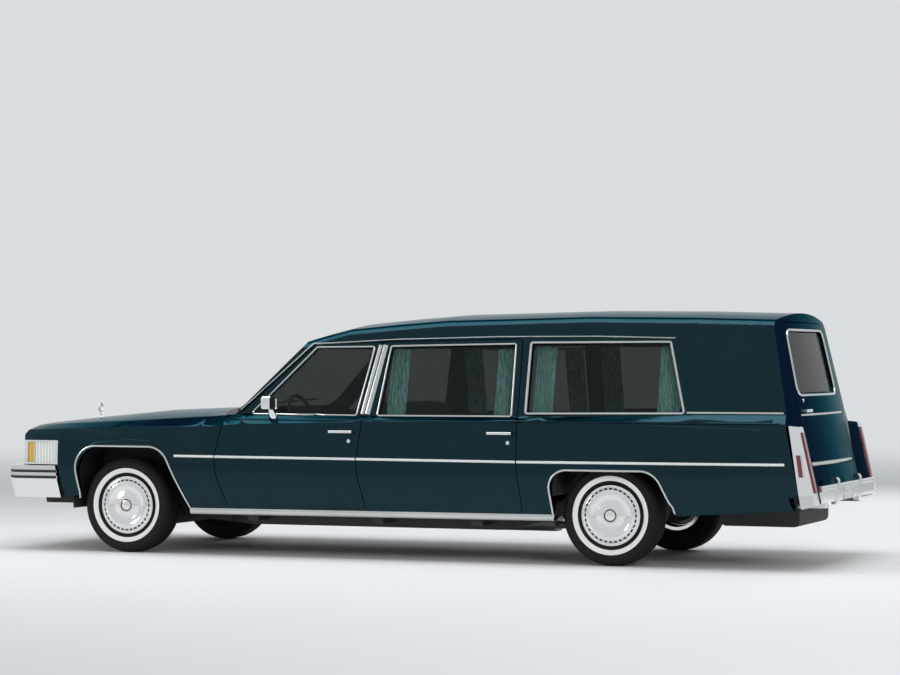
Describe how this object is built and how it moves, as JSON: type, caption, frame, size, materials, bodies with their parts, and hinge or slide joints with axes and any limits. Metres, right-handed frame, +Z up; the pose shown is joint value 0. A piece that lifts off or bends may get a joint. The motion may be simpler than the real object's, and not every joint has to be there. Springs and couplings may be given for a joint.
{
  "type": "hearse",
  "caption": "Long four-side-door hearse with a flat load deck, opening doors and hood, steered front wheels and four turning wheels.",
  "frame": {"origin": "on the floor below the middle of the overall length, on the centre plane", "axes": "+X towards the rear, +Y to the car's right, +Z up"},
  "size_m": [6.1398, 2.12, 1.7378],
  "materials": {
    "paint": "gloss metallic",
    "dark_metal": "satin",
    "chrome": "polished",
    "glass": "tinted",
    "lamp": "clear",
    "amber_lens": "gloss",
    "red_lens": "gloss",
    "tyre": "matt",
    "cloth": "matt",
    "seat": "satin",
    "trim": "satin",
    "iron": "matt",
    "steel": "satin",
    "deck": "satin"
  },
  "bodies": {
    "body": {"frame": "dark_metal", "underbody": "dark_metal", "load_deck": "deck", "front_fenders": "paint", "side_frames": "paint", "quarter_panels": "paint", "rear_frame": "paint", "roof": "paint", "nose_panel": "paint", "grille": "chrome", "front_lamps": "chrome", "lamp_lenses": "lamp", "front_markers": "amber_lens", "front_bumper": "chrome", "rear_bumper": "chrome", "tail_fins": "chrome", "tail_lenses": "red_lens", "windshield": "glass", "quarter_glass": "glass", "quarter_curtains": "cloth", "engine": "iron", "radiator": "dark_metal", "exhaust": "steel", "fuel_tank": "steel", "front_suspension": "dark_metal", "rear_axle": "iron", "front_seat": "seat", "dashboard": "trim", "steering_wheel": "trim"},
    "hood": {"hood": "paint"},
    "rear_door": {"rear_door": "paint", "rear_glass": "glass", "gate_hardware": "chrome"},
    "front_door_left": {"door_front_left": "paint", "glass_front_left": "glass", "door_hardware_front_left": "chrome"},
    "rear_door_left": {"door_rear_left": "paint", "glass_rear_left": "glass", "door_hardware_rear_left": "chrome", "curtains_rear_left": "cloth"},
    "knuckle_left": {"knuckle_left": "iron"},
    "wheel_front_left": {"wheel_front_left": "chrome", "tyre_front_left": "tyre"},
    "wheel_rear_left": {"wheel_rear_left": "chrome", "tyre_rear_left": "tyre"},
    "front_door_right": {"door_front_right": "paint", "glass_front_right": "glass", "door_hardware_front_right": "chrome"},
    "rear_door_right": {"door_rear_right": "paint", "glass_rear_right": "glass", "door_hardware_rear_right": "chrome", "curtains_rear_right": "cloth"},
    "knuckle_right": {"knuckle_right": "iron"},
    "wheel_front_right": {"wheel_front_right": "chrome", "tyre_front_right": "tyre"},
    "wheel_rear_right": {"wheel_rear_right": "chrome", "tyre_rear_right": "tyre"}
  },
  "joints": [
    {"name": "front_door_left_hinge", "type": "hinge", "parent": "body", "child": "front_door_left", "pos_m": [-1.318, -0.978, 0.65], "axis": [0, 0, -1], "range_deg": [0, 65]},
    {"name": "rear_door_left_hinge", "type": "hinge", "parent": "body", "child": "rear_door_left", "pos_m": [-0.209, -0.978, 0.65], "axis": [0, 0, -1], "range_deg": [0, 70]},
    {"name": "steer_left", "type": "hinge", "parent": "body", "child": "knuckle_left", "pos_m": [-2.04, -0.6905, 0.342], "axis": [0, 0, 1], "range_deg": [-33, 33]},
    {"name": "wheel_front_left_spin", "type": "hinge", "parent": "knuckle_left", "child": "wheel_front_left", "pos_m": [-2.04, -0.7835, 0.342], "axis": [0, 1, 0], "continuous": true},
    {"name": "wheel_rear_left_spin", "type": "hinge", "parent": "body", "child": "wheel_rear_left", "pos_m": [1.63, -0.771, 0.342], "axis": [0, 1, 0], "continuous": true},
    {"name": "front_door_right_hinge", "type": "hinge", "parent": "body", "child": "front_door_right", "pos_m": [-1.318, 0.978, 0.65], "axis": [0, 0, 1], "range_deg": [0, 65]},
    {"name": "rear_door_right_hinge", "type": "hinge", "parent": "body", "child": "rear_door_right", "pos_m": [-0.209, 0.978, 0.65], "axis": [0, 0, 1], "range_deg": [0, 70]},
    {"name": "steer_right", "type": "hinge", "parent": "body", "child": "knuckle_right", "pos_m": [-2.04, 0.6905, 0.342], "axis": [0, 0, 1], "range_deg": [-33, 33]},
    {"name": "wheel_front_right_spin", "type": "hinge", "parent": "knuckle_right", "child": "wheel_front_right", "pos_m": [-2.04, 0.7835, 0.342], "axis": [0, 1, 0], "continuous": true},
    {"name": "wheel_rear_right_spin", "type": "hinge", "parent": "body", "child": "wheel_rear_right", "pos_m": [1.63, 0.771, 0.342], "axis": [0, 1, 0], "continuous": true},
    {"name": "rear_door_hinge", "type": "hinge", "parent": "body", "child": "rear_door", "pos_m": [2.72717, 0.625, 1.664], "axis": [-0.2139, 0, 0.9768], "range_deg": [0, 100]},
    {"name": "hood_hinge", "type": "hinge", "parent": "body", "child": "hood", "pos_m": [-1.262, 0, 1.04], "axis": [0, 1, 0], "range_deg": [0, 50]}
  ],
  "couplings": [
    {"joint": "steer_right", "follows": "steer_left", "ratio": 1}
  ]
}
